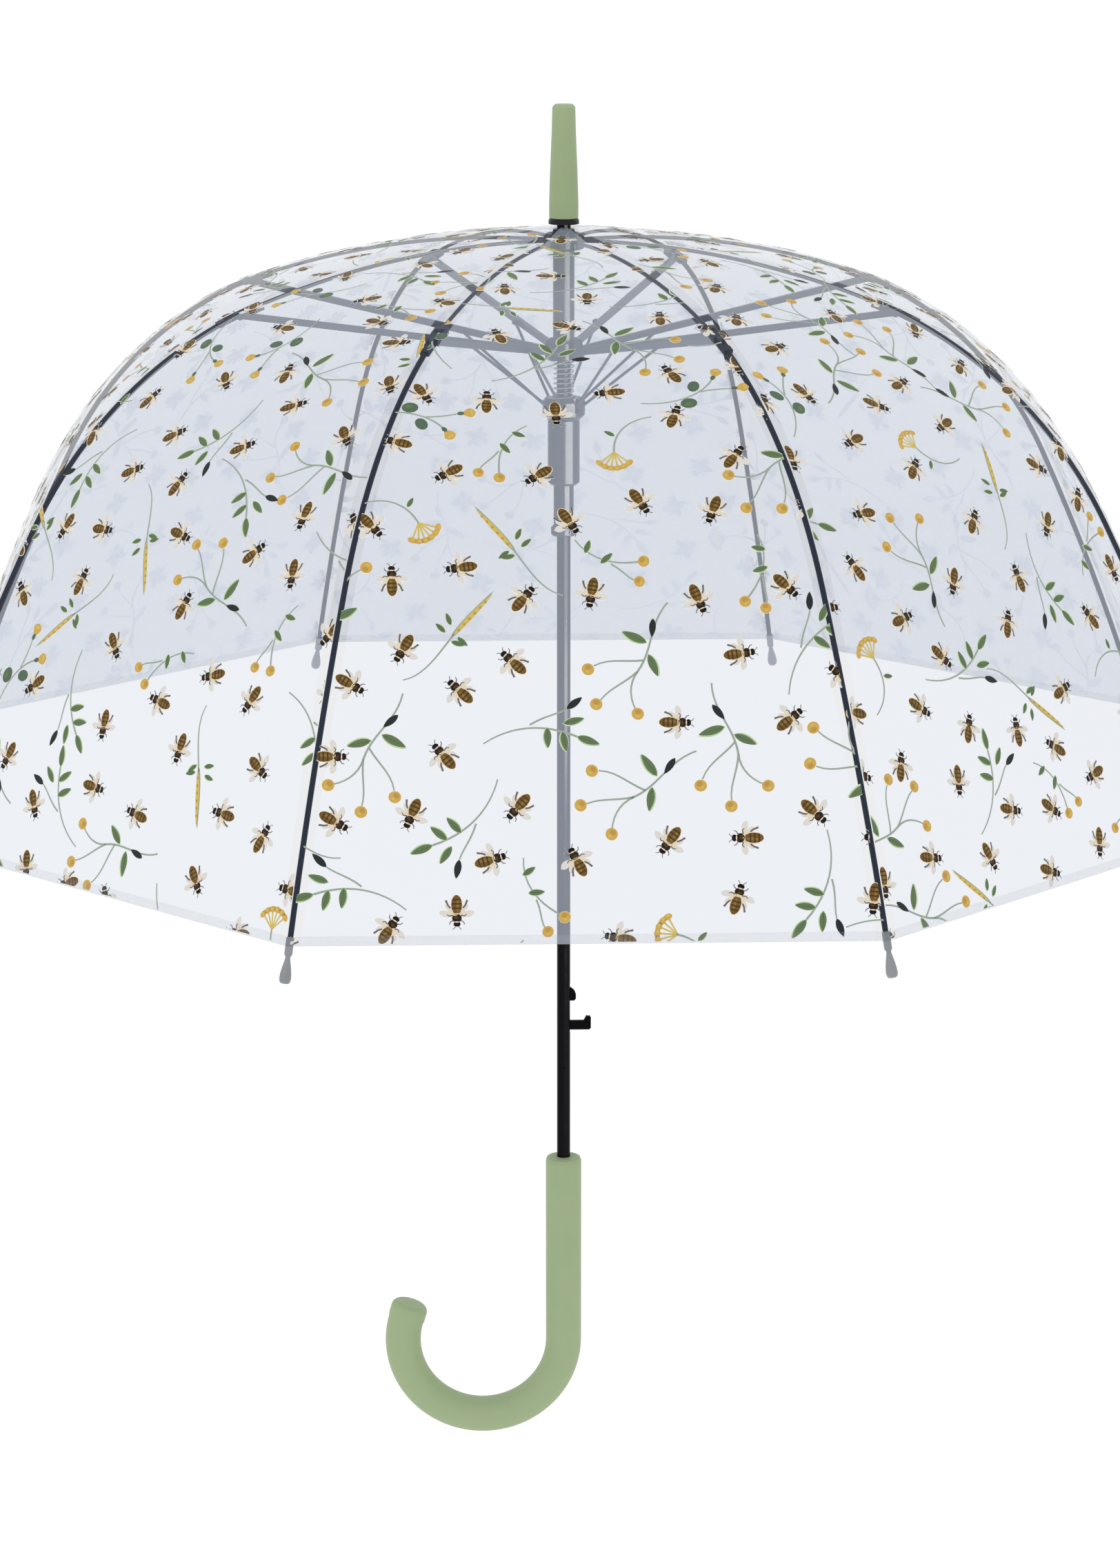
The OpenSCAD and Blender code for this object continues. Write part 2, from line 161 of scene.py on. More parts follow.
def make_studio():
    world = bpy.data.worlds.new("studio")
    bpy.context.scene.world = world
    world.use_nodes = True
    background = world.node_tree.nodes["Background"]
    background.inputs["Color"].default_value = (1, 1, 1, 1)
    background.inputs["Strength"].default_value = 1.0
    for name, lamp in LAMPS.items():
        round_lamp(name, *lamp)
    make_floor()
    bpy.context.scene.view_settings.view_transform = "Standard"


# ---------- Materials ----------

NOISE_LOW = 0.3
NOISE_HIGH = 0.7
MOTTLE_SCALE = 45
UNEVEN_SCALE = 160
GRAIN_STRENGTH = 0.35
RIPPLE_SCALE = 9
RIPPLE_STRETCH = (1, 1, 0.35)
RIPPLE_STRENGTH = 0.25
RIPPLE_DEPTH = 4 * MM


def new_material(name):
    material = bpy.data.materials.new(name)
    material.use_nodes = True
    tree = material.node_tree
    return material, tree.nodes["Principled BSDF"], tree.links


def noise(material, scale, detail=3.0, stretch=(1, 1, 1)):
    """Noise in the frame's own metres, so that its grain has a real size."""
    nodes, links = material.node_tree.nodes, material.node_tree.links
    place = nodes.new("ShaderNodeTexCoord")
    mapping = nodes.new("ShaderNodeMapping")
    mapping.inputs["Scale"].default_value = stretch
    texture = nodes.new("ShaderNodeTexNoise")
    texture.inputs["Scale"].default_value = scale
    texture.inputs["Detail"].default_value = detail
    links.new(place.outputs["Object"], mapping.inputs["Vector"])
    links.new(mapping.outputs["Vector"], texture.inputs["Vector"])
    return texture.outputs["Fac"]


def spread_to(material, factor, low, high):
    node = material.node_tree.nodes.new("ShaderNodeMapRange")
    node.inputs["From Min"].default_value = NOISE_LOW
    node.inputs["From Max"].default_value = NOISE_HIGH
    node.inputs["To Min"].default_value = low
    node.inputs["To Max"].default_value = high
    material.node_tree.links.new(factor, node.inputs["Value"])
    return node.outputs["Result"]


def mixed_colour(material, factor, first, second):
    node = material.node_tree.nodes.new("ShaderNodeMix")
    node.data_type = "RGBA"
    node.inputs["A"].default_value = (*first, 1)
    node.inputs["B"].default_value = (*second, 1)
    material.node_tree.links.new(factor, node.inputs["Factor"])
    return node.outputs["Result"]


def bump(material, shader, height, strength, depth):
    node = material.node_tree.nodes.new("ShaderNodeBump")
    node.inputs["Strength"].default_value = strength
    node.inputs["Distance"].default_value = depth
    material.node_tree.links.new(height, node.inputs["Height"])
    material.node_tree.links.new(node.outputs["Normal"], shader.inputs["Normal"])


def finished(name, colour, shade, roughness, grain, depth, metallic=0.0, gloss=0.5):
    """A surface whose colour and roughness vary gently, with a fine grain."""
    material, shader, links = new_material(name)
    mottle = spread_to(material, noise(material, MOTTLE_SCALE), 0, 1)
    links.new(mixed_colour(material, mottle, colour, shade), shader.inputs["Base Color"])
    uneven = spread_to(material, noise(material, UNEVEN_SCALE, 4), roughness[0], roughness[1])
    links.new(uneven, shader.inputs["Roughness"])
    bump(material, shader, noise(material, grain, 4), GRAIN_STRENGTH, depth)
    shader.inputs["Metallic"].default_value = metallic
    shader.inputs["Specular IOR Level"].default_value = gloss
    return material


def film_material(name, colour, alpha, roughness):
    """Clear film: mostly open, with a faint milky haze, gloss and shallow ripples."""
    material, shader, _ = new_material(name)
    shader.inputs["Base Color"].default_value = (*colour, 1)
    shader.inputs["Roughness"].default_value = roughness
    shader.inputs["Alpha"].default_value = alpha
    shader.inputs["IOR"].default_value = 1.5
    ripples = noise(material, RIPPLE_SCALE, 3, RIPPLE_STRETCH)
    bump(material, shader, ripples, RIPPLE_STRENGTH, RIPPLE_DEPTH)
    return material


def ink_material(name, colour):
    material, shader, _ = new_material(name)
    shader.inputs["Base Color"].default_value = (*colour, 1)
    shader.inputs["Roughness"].default_value = 0.45
    shader.inputs["Specular IOR Level"].default_value = 0.15
    return material


def base_material():
    """White laid under the colours. Its faint glow stands in for light that passes through the film."""
    material, shader, _ = new_material("ink base")
    shader.inputs["Base Color"].default_value = (0.9, 0.9, 0.9, 1)
    shader.inputs["Roughness"].default_value = 0.6
    shader.inputs["Specular IOR Level"].default_value = 0.2
    shader.inputs["Emission Color"].default_value = (0.92, 0.95, 1, 1)
    shader.inputs["Emission Strength"].default_value = 0.25
    return material


def srgb(*levels):
    """Linear colour from levels of 0 to 255."""
    return tuple(v / 255 / 12.92 if v <= 10 else ((v / 255 + 0.055) / 1.055) ** 2.4 for v in levels)


# ---------- Shape of the canopy film ----------

def flat_place(point):
    return np.array([math.hypot(point.x, point.y), point.z])


CROWN_PIVOT = flat_place(PLACES["canopy_fold"])
JOINT = flat_place(PLACES["lower_rib_fold_1"])
PIVOT_DROP = 9 * MM
CROWN_Z = CROWN_PIVOT[1] + PIVOT_DROP
UPPER_BOW = math.radians(11)
LOWER_START = math.radians(23)
SHOULDER_END = math.radians(62.5)
SKIRT_END = math.radians(70)
SHOULDER_LENGTH = 170 * MM
SKIRT_LENGTH = 205 * MM
CAP_LENGTH = 24 * MM
FILM_LIFT = 2.25 * MM
CROWN_HOLE = 4.6 * MM
CROWN_HOLE_DROP = 0.9 * MM
CROWN_RISE = 6 * MM
UPPER_REACH = 0.985
UPPER_STEPS = 40
SHOULDER_STEPS = 40
SKIRT_STEPS = 30
HEM_BACK = CAP_LENGTH - 5 * MM


def arc_point(start, radius, start_tangent, tangent):
    """Point of the arc that leaves start with start_tangent below level."""
    centre = start - radius * np.array([math.sin(start_tangent), math.cos(start_tangent)])
    return centre + radius * np.array([math.sin(tangent), math.cos(tangent)])


def lifted(point, tangent):
    return point + FILM_LIFT * np.array([math.sin(tangent), math.cos(tangent)])


LINK = JOINT - CROWN_PIVOT
LINK_TILT = math.atan2(-LINK[1], LINK[0])
UPPER_RADIUS = math.hypot(*LINK) / 2 / math.sin(UPPER_BOW)
SHOULDER_RADIUS = SHOULDER_LENGTH / (SHOULDER_END - LOWER_START)
SKIRT_RADIUS = SKIRT_LENGTH / (SKIRT_END - SHOULDER_END)
SHOULDER_FOOT = arc_point(JOINT, SHOULDER_RADIUS, LOWER_START, SHOULDER_END)
TIP = arc_point(SHOULDER_FOOT, SKIRT_RADIUS, SHOULDER_END, SKIRT_END)
HEM_TANGENT = SKIRT_END - HEM_BACK / SKIRT_RADIUS


def film_profile():
    """Points of the film's line over a rib, from the crown to the hem, and the number at the joint."""
    line = [np.array([CROWN_HOLE, CROWN_Z - CROWN_HOLE_DROP])]
    for i in range(1, UPPER_STEPS + 1):
        share = UPPER_REACH * i / UPPER_STEPS
        tangent = LINK_TILT + (2 * share - 1) * UPPER_BOW
        rise = CROWN_RISE * max(0, 1 - 3 * share) ** 2
        point = lifted(arc_point(CROWN_PIVOT, UPPER_RADIUS, LINK_TILT - UPPER_BOW, tangent), tangent)
        line.append(point + np.array([0, rise]))
    at_joint = len(line)
    for i in range(SHOULDER_STEPS + 1):
        tangent = LOWER_START + (SHOULDER_END - LOWER_START) * i / SHOULDER_STEPS
        line.append(lifted(arc_point(JOINT, SHOULDER_RADIUS, LOWER_START, tangent), tangent))
    for i in range(1, SKIRT_STEPS + 1):
        tangent = SHOULDER_END + (HEM_TANGENT - SHOULDER_END) * i / SKIRT_STEPS
        line.append(lifted(arc_point(SHOULDER_FOOT, SKIRT_RADIUS, SHOULDER_END, tangent), tangent))
    return np.array(line), at_joint


PROFILE, JOINT_ROW = film_profile()
ALONG = np.concatenate([[0], np.cumsum(np.hypot(*np.diff(PROFILE, axis=0).T))])
JOINT_AT, HEM_AT = ALONG[JOINT_ROW], ALONG[-1]
SLOPE_STEP = 0.5 * MM
NORMAL_STEP = 0.4 * MM
NORMAL_TURN = 0.004


def profile_at(along):
    """Radius and height of the film's line over a rib, at a distance from the crown."""
    return np.interp(along, ALONG, PROFILE[:, 0]), np.interp(along, ALONG, PROFILE[:, 1])


def gore_share(radius):
    """How far a gore is pulled straight between its ribs: 0 round, 1 flat."""
    return np.minimum(1, radius / TIP[0]) ** 1.2


def film_point(along, turn, gore, lift=0.0):
    """Places on the film, from the distance down the gore and the angle from the gore's middle."""
    along, turn = np.asarray(along, float), np.asarray(turn, float)
    radius, height = profile_at(along)
    share = gore_share(radius)
    bowed = radius * (1 - share + share * math.cos(HALF_GORE) / np.cos(turn))
    r0, z0 = profile_at(along - SLOPE_STEP)
    r1, z1 = profile_at(along + SLOPE_STEP)
    length = np.hypot(r1 - r0, z1 - z0)
    bowed = bowed - lift * (z1 - z0) / length
    height = height + lift * (r1 - r0) / length
    azimuth = gore * GORE + turn
    return np.stack([bowed * np.cos(azimuth), bowed * np.sin(azimuth), height], axis=-1)


def film_normal(along, turn, gore):
    """Directions square to the film, pointing outwards."""
    before, after = np.maximum(along - NORMAL_STEP, 0), np.minimum(along + NORMAL_STEP, HEM_AT)
    down = film_point(after, turn, gore) - film_point(before, turn, gore)
    across = film_point(along, turn + NORMAL_TURN, gore) - film_point(along, turn - NORMAL_TURN, gore)
    normal = np.cross(across, down)
    place = film_point(along, turn, gore)
    normal *= np.sign((normal[..., :2] * place[..., :2]).sum(-1) + normal[..., 2])[..., None]
    return normal / np.linalg.norm(normal, axis=-1)[..., None]


def gore_width(along):
    """Width of the flat cut of a gore at that distance from the crown."""
    radius, _ = profile_at(along)
    share = gore_share(radius)
    straight = 2 * radius * math.cos(HALF_GORE) * math.tan(HALF_GORE)
    return share * straight + (1 - share) * radius * GORE


def turn_of(x, along):
    """Angle from the gore's middle for a distance x across its flat cut."""
    radius, _ = profile_at(along)
    share = gore_share(radius)
    return share * np.arctan(x / (radius * math.cos(HALF_GORE))) + (1 - share) * x / radius


# ---------- Sectors: what hangs on one rib, upper or lower ----------

HINGE_PULL = 0.18
SPLIT_STEPS = 45


def find_split():
    """Where upper and lower film meet: near the hinge line of the rib's joint, so the gap stays small."""
    turns = np.linspace(0, HALF_GORE, SPLIT_STEPS + 1)
    rows = []
    for turn in turns:
        off = math.cos(HALF_GORE - turn)
        out = np.hypot(*film_point(ALONG, turn, 0)[:, :2].T) * off
        rows.append(np.interp(PROFILE[JOINT_ROW, 0] * (1 - HINGE_PULL * (1 - off)), out, ALONG))
    return turns, np.array(rows)


SPLIT_TURNS, SPLIT_ROWS = find_split()


def split_at(turn):
    return np.interp(np.abs(turn), SPLIT_TURNS, SPLIT_ROWS)


def sector_names():
    return [(k, level) for k in range(1, RIBS + 1) for level in ("upper", "lower")]


def fold_with(piece, k, level):
    """The piece rides on its rib, with a mesh of its own."""
    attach(piece, f"{level}_rib_{k}")
    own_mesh(piece)


def mesh_piece(name, points, faces, materials, indices=None):
    mesh = bpy.data.meshes.new(name)
    mesh.from_pydata([tuple(p) for p in points], [], [tuple(f) for f in faces])
    for material in materials:
        mesh.materials.append(material)
    if indices is not None:
        mesh.polygons.foreach_set("material_index", indices)
    mesh.polygons.foreach_set("use_smooth", [True] * len(mesh.polygons))
    mesh.update()
    piece = bpy.data.objects.new(name, mesh)
    bpy.context.scene.collection.objects.link(piece)
    return piece


ACROSS_STEPS = 12
UPPER_ROWS = 41
LOWER_ROWS = 61
SEAM_HALF = 6 * MM
SEAM_MOST = 0.3
COLUMN_ROUNDS = 4
ALMOST_ONE = 0.999


def sector_columns(k):
    """Columns from one gore's middle over the rib to the next's: the gore and the share of its half."""
    shares = [i / (ACROSS_STEPS - 1) for i in range(ACROSS_STEPS)]
    before = [(k - 1, s) for s in shares]
    after = [(k, -s) for s in reversed(shares)]
    return before, after


def column_turn(share, along):
    """Angle of a column: the last one lies on the rib, and the one before it keeps the seam's width."""
    radius, _ = profile_at(along)
    seam = HALF_GORE - np.minimum(SEAM_HALF / radius, SEAM_MOST * HALF_GORE)
    inner = (ACROSS_STEPS - 2) / (ACROSS_STEPS - 1)
    size = abs(share)
    turn = seam * size / inner if size <= inner + 1e-6 else np.full_like(seam, HALF_GORE)
    return math.copysign(1, share) * turn


def column_rows(share, level):
    """Distances down a column of the film, which ends or begins where upper and lower film meet."""
    split = JOINT_AT
    for _ in range(COLUMN_ROUNDS):
        split = split_at(column_turn(share, split))
    if level == "upper":
        return np.linspace(0, split, UPPER_ROWS)
    return np.linspace(split, HEM_AT, LOWER_ROWS)


def make_film(k, level, materials):
    points, faces, indices, normals = [], [], [], []
    for gore_columns in sector_columns(k):
        start = len(points)
        rows = [column_rows(share, level) for _, share in gore_columns]
        turns = [column_turn(share, line) for (_, share), line in zip(gore_columns, rows)]
        gores = [gore for gore, _ in gore_columns]
        grid = [film_point(*place) for place in zip(rows, turns, gores)]
        tilt = [film_normal(*place) for place in zip(rows, turns, gores)]
        count = len(rows[0])
        for column in grid:
            points.extend(column)
        for i in range(len(grid) - 1):
            at_seam = max(abs(gore_columns[i][1]), abs(gore_columns[i + 1][1])) > ALMOST_ONE
            for j in range(count - 1):
                a, b = start + i * count + j, start + (i + 1) * count + j
                faces.append((a, a + 1, b + 1, b))
                indices.append(1 if at_seam else 0)
                normals += [tilt[i][j], tilt[i][j + 1], tilt[i + 1][j + 1], tilt[i + 1][j]]
    piece = mesh_piece(f"film_{level}_{k}", points, faces, materials, indices)
    weld(piece.data, normals)
    return piece


def weld(mesh, normals):
    """Joins the two gores' columns that lie on the rib, and gives each loop its own gore's normal."""
    count = len(mesh.vertices)
    spots = np.empty(count * 3)
    mesh.vertices.foreach_get("co", spots)
    spots = spots.reshape(-1, 3)
    _, first, back = np.unique(np.round(spots, 7), axis=0, return_index=True, return_inverse=True)
    back = back.reshape(-1)
    corners = np.empty(len(mesh.loops), int)
    mesh.loops.foreach_get("vertex_index", corners)
    sizes = np.empty(len(mesh.polygons), int)
    mesh.polygons.foreach_get("loop_total", sizes)
    slots = np.empty(len(mesh.polygons), int)
    mesh.polygons.foreach_get("material_index", slots)
    ends = np.cumsum(sizes)
    faces = [back[corners[e - s:e]].tolist() for e, s in zip(ends, sizes)]
    mesh.clear_geometry()
    mesh.from_pydata(spots[first].tolist(), [], faces)
    mesh.polygons.foreach_set("material_index", slots)
    mesh.polygons.foreach_set("use_smooth", [True] * len(faces))
    mesh.update()
    if normals is not None:
        mesh.normals_split_custom_set([tuple(n) for n in normals])


def strip(name, materials, lines):
    """A closed band whose section's corners run along lines, each a list of places."""
    count = len(lines[0])
    points = [p for line in lines for p in line]
    faces = []
    for i in range(len(lines)):
        a, b = i * count, (i + 1) % len(lines) * count
        faces += [(a + j, a + j + 1, b + j + 1, b + j) for j in range(count - 1)]
    return mesh_piece(name, points, faces, materials)


HEM_WIDTH = 5 * MM
HEM_OUTER = 0.4 * MM
HEM_INNER = -0.08 * MM
HEM_COLUMNS = 13


def make_hem(k, materials):
    """The hem is turned up and welded, so it is a flat band round the film's edge."""
    turns = np.linspace(0, HALF_GORE, HEM_COLUMNS)
    corners = ((HEM_AT - HEM_WIDTH, HEM_OUTER), (HEM_AT, HEM_OUTER), (HEM_AT, HEM_INNER),
               (HEM_AT - HEM_WIDTH, HEM_INNER))
    lines = []
    for along, lift in corners:
        row = np.full(HEM_COLUMNS, along)
        before = film_point(row, turns, k - 1, lift)
        after = film_point(row, -turns[::-1], k, lift)
        lines.append(list(before) + list(after[1:]))
    return strip(f"hem_{k}", materials, lines)


# ---------- Printed pattern ----------

INKS = {
    "wing": srgb(212, 208, 202),
    "tan": srgb(222, 205, 172),
    "honey": srgb(106, 80, 36),
    "olive": srgb(134, 106, 50),
    "bark": srgb(70, 50, 24),
    "umber": srgb(34, 21, 12),
    "ebony": srgb(12, 10, 10),
    "leg": srgb(104, 96, 90),
    "gold": srgb(198, 161, 81),
    "amber": srgb(180, 143, 68),
    "straw": srgb(200, 178, 92),
    "stem": srgb(148, 160, 148),
    "leaf": srgb(94, 114, 78),
    "lime": srgb(178, 198, 152),
    "fern": srgb(80, 102, 82),
    "night": srgb(34, 40, 40),
}
INK_NAMES = list(INKS) + ["base"]
BASE_LIFT = 0.12 * MM
INK_LIFT = 0.2 * MM
INK_STEP = 0.03 * MM
BAND_LEAST = 0.02
BAND_FIT = 0.98


def placed_at(x, y, c, s, points):
    """Points moved to x, y after a turn with the cosine c and the sine s."""
    return [(x + u * c - v * s, y + u * s + v * c) for u, v in points]


def oval(x, y, rx, ry, turn, count):
    """Fan of triangles, in millimetres, for an oval."""
    angles = [math.tau * i / count for i in range(count)]
    ring = [(rx * math.cos(a), ry * math.sin(a)) for a in angles]
    return fan((x, y), placed_at(x, y, math.cos(turn), math.sin(turn), ring))


def fan(middle, ring):
    return [[middle, ring[i], ring[(i + 1) % len(ring)]] for i in range(len(ring))]


def blade(x, y, length, width, heading, belly, sides):
    """A leaf or wing: pointed at both ends, widest at belly of its length."""
    c, s = math.cos(heading), math.sin(heading)
    power = math.log(0.5) / math.log(belly)
    shares = [i / (2 * sides) for i in range(2 * sides + 1)]
    half = [width / 2 * math.sin(math.pi * t ** power) ** 0.8 for t in shares]
    faces = []
    for i in range(2 * sides):
        quad = [(shares[i] * length, -half[i]), (shares[i + 1] * length, -half[i + 1]),
                (shares[i + 1] * length, half[i + 1]), (shares[i] * length, half[i])]
        faces.append(placed_at(x, y, c, s, quad))
    return faces


def curve(p0, p1, p2, p3, count):
    """Points along a cubic curve."""
    points = []
    for i in range(count + 1):
        t = i / count
        w = ((1 - t) ** 3, 3 * t * (1 - t) ** 2, 3 * t * t * (1 - t), t ** 3)
        points.append(tuple(sum(a * p[c] for a, p in zip(w, (p0, p1, p2, p3))) for c in (0, 1)))
    return points


def stroke(points, start, end):
    """A ribbon along points, from width start to width end."""
    left, right = [], []
    last = len(points) - 1
    for i, (x, y) in enumerate(points):
        (x0, y0), (x1, y1) = points[max(0, i - 1)], points[min(last, i + 1)]
        length = math.hypot(x1 - x0, y1 - y0)
        half = (start + (end - start) * i / last) / 2
        nx, ny = -(y1 - y0) / length * half, (x1 - x0) / length * half
        left.append((x + nx, y + ny))
        right.append((x - nx, y - ny))
    return [[right[i], right[i + 1], left[i + 1], left[i]] for i in range(last)]


def band(y, height, rx, ry, cy):
    """A bar across an oval, nearly as wide as the oval is there."""
    rows = [y - height / 2, y, y + height / 2]
    half = [rx * math.sqrt(max(BAND_LEAST, 1 - ((r - cy) / ry) ** 2)) * BAND_FIT for r in rows]
    faces = []
    for i in range(2):
        low, high = rows[i], rows[i + 1]
        a, b = half[i], half[i + 1]
        faces.append([(-a, low), (a, low), (b, high), (-b, high)])
    return faces


def stem(places, count, start, end):
    """A stalk along a curve, from width start to width end."""
    return ("stem", 1, stroke(curve(*places, count), start, end))


# ink, layer, height on the body, length, width, angle from straight ahead, belly, sides
BEE_WINGS = (
    ("wing", 1, 2.6, 7.6, 3.3, 1.85, 0.62, 4),
    ("wing", 1, 1.0, 6.0, 2.6, 2.35, 0.62, 4),
    ("tan", 2, 1.5, 3.4, 1.3, 2.0, 0.5, 3),
)
WING_ROOT = 1.2
# points on the right side, width at the start, width at the end
BEE_LEGS = (
    (curve((2.9, -1.4), (4.0, -2.1), (4.4, -3.6), (5.1, -5.2), 5), 0.65, 1.0),
    ([(1.9, 2.0), (3.6, 2.5), (4.6, 1.6)], 0.6, 0.4),
    ([(1.6, 4.4), (3.2, 5.4), (3.6, 6.6)], 0.55, 0.35),
    ([(0.7, 7.2), (1.3, 8.3), (2.2, 8.9)], 0.4, 0.3),
)


def bee():
    """A bee seen from above, its head towards +y: (ink, layer, faces) from the bottom up."""
    parts = []
    for side in (1, -1):
        for ink, layer, y, length, width, spread, belly, sides in BEE_WINGS:
            heading = math.pi / 2 - side * spread
            parts.append((ink, layer, blade(side * WING_ROOT, y, length, width, heading, belly, sides)))
        for points, start, end in BEE_LEGS:
            parts.append(("leg", 3, stroke([(side * x, y) for x, y in points], start, end)))
    parts.append(("tan", 2, oval(0, -2.8, 2.95, 5.1, 0, 14)))
    parts.append(("honey", 3, oval(0, -2.95, 2.5, 4.75, 0, 14)))
    parts.append(("olive", 4, oval(0.55, -2.7, 0.75, 3.3, 0.06, 8)))
    for y in (-1.3, -3.4, -5.4):
        parts.append(("bark", 5, band(y, 0.7, 2.5, 4.75, -2.95)))
    parts.append(("tan", 3, oval(0, 1.75, 2.2, 0.7, 0, 10)))
    parts.append(("umber", 3, oval(0, 3.5, 2.35, 2.1, 0, 12)))
    parts.append(("bark", 4, oval(-0.3, 3.1, 1.3, 0.9, 0.3, 8)))
    parts.append(("tan", 4, oval(0, 5.3, 1.3, 0.32, 0, 8)))
    parts.append(("ebony", 3, oval(0, 6.3, 1.75, 1.3, 0, 10)))
    return parts


def button_head(x, y, size):
    """A round flower head, with a shaded side and a bright fleck."""
    return [("gold", 2, oval(x, y, size, size * 0.96, 0, 12)),
            ("amber", 3, oval(x + 0.2 * size, y - 0.25 * size, 0.5 * size, 0.4 * size, 0.6, 8)),
            ("straw", 4, oval(x - 0.25 * size, y + 0.3 * size, 0.35 * size, 0.25 * size, 0.4, 6))]


def leaf_of(x, y, length, width, heading, ink="leaf"):
    """A leaf with a pale edge and a darker vein, or a plain one in night ink."""
    c, s = math.cos(heading), math.sin(heading)
    leaf = (ink, 3, blade(x, y, length, width, heading, 0.45, 4))
    if ink == "night":
        return [leaf]
    edge = blade(x - 0.3 * c, y - 0.3 * s, 1.05 * length, 1.22 * width, heading + 0.05, 0.45, 4)
    vein = [(x + along * length * c, y + along * length * s) for along in (0.12, 0.82)]
    return [("lime", 2, edge), leaf, ("fern", 4, stroke(vein, 0.45, 0.2))]


def button_sprig():
    parts = [stem(((9, -27), (8, -15), (-1, -9), (-3, 2)), 12, 0.7, 0.9),
             stem(((-3, 2), (-4, 8), (-8, 12), (-14, 14)), 7, 0.85, 0.6),
             stem(((-3, 2), (-3, 9), (0, 15), (-1, 21)), 7, 0.85, 0.6),
             stem(((-1.5, -3), (3, 3), (9, 6), (11, 13)), 7, 0.85, 0.6)]
    for x, y in ((-15.5, 14.5), (-1, 23.5), (11.6, 15.6)):
        parts += button_head(x, y, 2.6)
    parts += leaf_of(3, -9, 11, 3.4, 0.35)
    parts += leaf_of(-1, -6, 10, 3.2, 2.75)
    parts += leaf_of(8.4, -18, 8, 2.8, 2.3, "night")
    return parts


def leaf_sprig():
    parts = [stem(((-22, -11), (-9, -12), (3, -7), (12, 5)), 12, 0.55, 0.9),
             stem(((-2, -8.6), (5, -9), (9, -7), (14, -7)), 6, 0.8, 0.6)]
    parts += leaf_of(12, 5, 9.5, 3.1, 0.85)
    parts += leaf_of(8, 0.2, 8.5, 2.9, 1.9)
    parts += leaf_of(3.5, -4.2, 8.5, 2.9, 2.05)
    parts += leaf_of(10, -2.4, 8.5, 2.8, 0.25)
    parts += leaf_of(14, -7, 8, 2.9, -0.15, "night")
    return parts


def spike_sprig():
    parts = [stem(((-23, -15), (-20, -6), (-9, -2), (-1, 3)), 11, 0.5, 0.8),
             ("stem", 1, blade(-3, 1.5, 27, 2.3, 0.58, 0.35, 6)),
             ("straw", 3, blade(-1.5, 2.6, 24, 2.0, 0.6, 0.4, 6))]
    for i in range(6):
        along = 3 + 3.2 * i
        x, y = -1.5 + along * math.cos(0.6), 2.8 + along * math.sin(0.6)
        parts.append(("amber", 4, oval(x, y, 0.75, 0.55, 0.6, 6)))
    for x, y, heading in ((-4, 1, 1.75), (-1.5, 3.4, 2.15), (1.5, 1.6, -0.5), (-1.5, 0.2, -0.95)):
        parts += leaf_of(x + 1.2 * math.cos(heading), y + 1.2 * math.sin(heading), 5.4, 2.0, heading)
    return parts


def umbel_sprig():
    parts = [stem(((-21, 6), (-12, 11), (-3, 9), (3, 1)), 12, 0.55, 0.85)]
    for i in range(6):
        heading = -1.75 + 0.33 * i
        end = (3 + 8.2 * math.cos(heading), 1 + 8.2 * math.sin(heading))
        parts.append(("straw", 1, stroke([(3, 1), end], 0.6, 0.8)))
        parts.append(("gold", 2, oval(end[0], end[1], 2.0, 1.35, heading + math.pi / 2, 8)))
        parts.append(("straw", 3, oval(end[0] + 0.5, end[1] + 0.3, 0.9, 0.6, heading + math.pi / 2, 6)))
    parts += leaf_of(-2.5, 7.4, 5, 1.9, 1.2)
    return parts


def bell_sprig():
    parts = [stem(((-21, -9), (-10, 1), (3, 3), (12, -2)), 12, 0.55, 0.85),
             stem(((3, 0.9), (8, 3), (11, 5), (15, 8)), 6, 0.8, 0.6)]
    for x, y, heading in ((12, -2, -0.55), (15, 8, 0.5)):
        c, s = math.cos(heading), math.sin(heading)
        parts.append(("fern", 3, oval(x + 0.8 * c, y + 0.8 * s, 1.5, 1.1, heading, 8)))
        parts.append(("gold", 2, blade(x, y, 7.2, 5.2, heading, 0.68, 4)))
        parts.append(("straw", 4, oval(x + 5.4 * c, y + 5.4 * s, 0.8, 1.7, heading, 8)))
    parts.append(("fern", 2, oval(-5, 3.2, 3.6, 2.9, 0.5, 12)))
    parts.append(("leaf", 3, oval(-5.6, 3.6, 1.9, 1.2, 0.5, 8)))
    parts.append(("fern", 2, oval(2.8, -3.4, 3.3, 2.6, -0.7, 12)))
    return parts


def twin_sprig():
    parts = [stem(((6, -19), (-3, -12), (-4, -2), (-2, 7)), 11, 0.55, 0.8),
             stem(((-3.6, -4), (-6, 1), (-9, 3), (-10, 6)), 6, 0.75, 0.6)]
    parts += button_head(-1.6, 9.2, 2.5)
    parts += button_head(-10.4, 8.0, 2.4)
    parts += leaf_of(-3.6, -8, 6.5, 2.4, 0.75)
    parts += leaf_of(0.4, -14.5, 6, 2.3, 0.25)
    return parts


SPRIGS = [button_sprig, leaf_sprig, spike_sprig, button_sprig,
          umbel_sprig, bell_sprig, twin_sprig, leaf_sprig]
SPRIG_SIZE = 1.28
BEE_SIZE = 1.08
SPRIG_GAP = 49.0
BEE_GAP = 31.0
BEE_TO_SPRIG = 11.0
PRINT_FROM = 26.0
SPRIG_TRIES = 900
SPRIG_MARGIN = 12
SPRIG_OVER = 14
BEE_TRIES = 5000
BEE_MARGIN = 4
HEM_Y = HEM_AT / MM
HEM_HALF = gore_width(HEM_AT) / MM / 2


